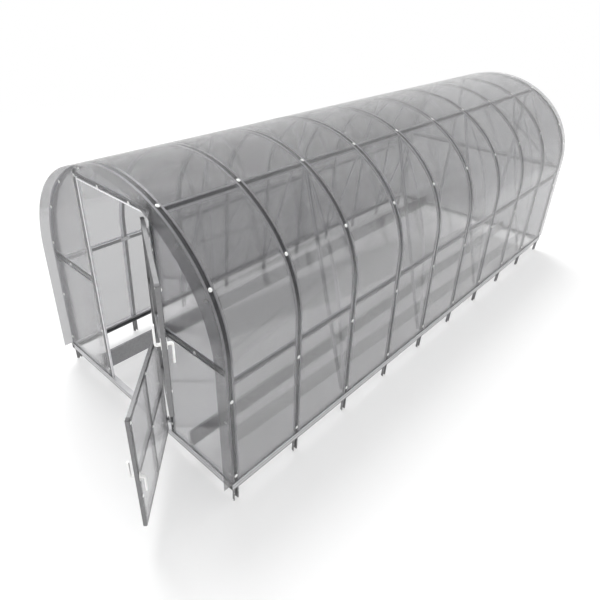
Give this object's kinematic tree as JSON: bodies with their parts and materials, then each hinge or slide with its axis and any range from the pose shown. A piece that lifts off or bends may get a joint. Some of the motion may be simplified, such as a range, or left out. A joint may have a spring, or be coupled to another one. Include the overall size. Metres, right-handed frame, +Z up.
{
  "type": "polycarbonate greenhouse",
  "caption": "Arched greenhouse of galvanised hat-section frames under clear twin-wall sheets, with a stable door in the front gable.",
  "frame": {"origin": "on the resting plane, under the middle of the space the building takes up with its door open", "axes": "+Z up, +Y along the building away from the door, +X to the right when facing the door from outside"},
  "size_m": [2.3809, 6.8212, 2.2763],
  "materials": {
    "frame_steel": "galvanised, satin",
    "base_steel": "galvanised, satin",
    "board_steel": "galvanised, satin",
    "stake_steel": "galvanised, dull",
    "hinge_steel": "zinc plated",
    "door_steel": "galvanised, satin",
    "handle": "white, moulded",
    "polycarbonate": "clear twin-wall sheet, gloss"
  },
  "bodies": {
    "building": {"front_arch": "frame_steel", "arch_2": "frame_steel", "arch_3": "frame_steel", "arch_4": "frame_steel", "arch_5": "frame_steel", "arch_6": "frame_steel", "arch_7": "frame_steel", "arch_8": "frame_steel", "arch_9": "frame_steel", "back_arch": "frame_steel", "base_rail_left": "base_steel", "base_rail_right": "base_steel", "front_sill": "base_steel", "back_sill": "base_steel", "anchor_legs_left": "stake_steel", "anchor_legs_right": "stake_steel", "bed_board_left": "board_steel", "bed_board_right": "board_steel", "waist_purlin_left": "frame_steel", "waist_purlin_right": "frame_steel", "upper_purlin_left": "frame_steel", "upper_purlin_right": "frame_steel", "braces_left": "frame_steel", "braces_right": "frame_steel", "cover_front": "polycarbonate", "cover_middle": "polycarbonate", "cover_back": "polycarbonate", "door_post_left": "frame_steel", "door_post_right": "frame_steel", "door_head": "frame_steel", "front_crossbars": "frame_steel", "front_panel_left": "polycarbonate", "front_panel_right": "polycarbonate", "front_transom": "polycarbonate", "back_posts": "frame_steel", "back_crossbars": "frame_steel", "back_panel": "polycarbonate", "jamb_hinges": "hinge_steel"},
    "lower_door": {"lower_door_frame": "door_steel", "lower_door_panel": "polycarbonate", "lower_door_handle": "handle"},
    "upper_door": {"upper_door_frame": "door_steel", "upper_door_panel": "polycarbonate", "upper_door_handle": "handle"}
  },
  "joints": [
    {"name": "lower_door_hinge", "type": "hinge", "parent": "building", "child": "lower_door", "pos_m": [0.432, -2.74638, 0.7], "axis": [0, 0, 1], "range_deg": [-134, 26]},
    {"name": "upper_door_hinge", "type": "hinge", "parent": "building", "child": "upper_door", "pos_m": [0.432, -2.74638, 1.6], "axis": [0, 0, 1], "range_deg": [-151, 9]}
  ]
}
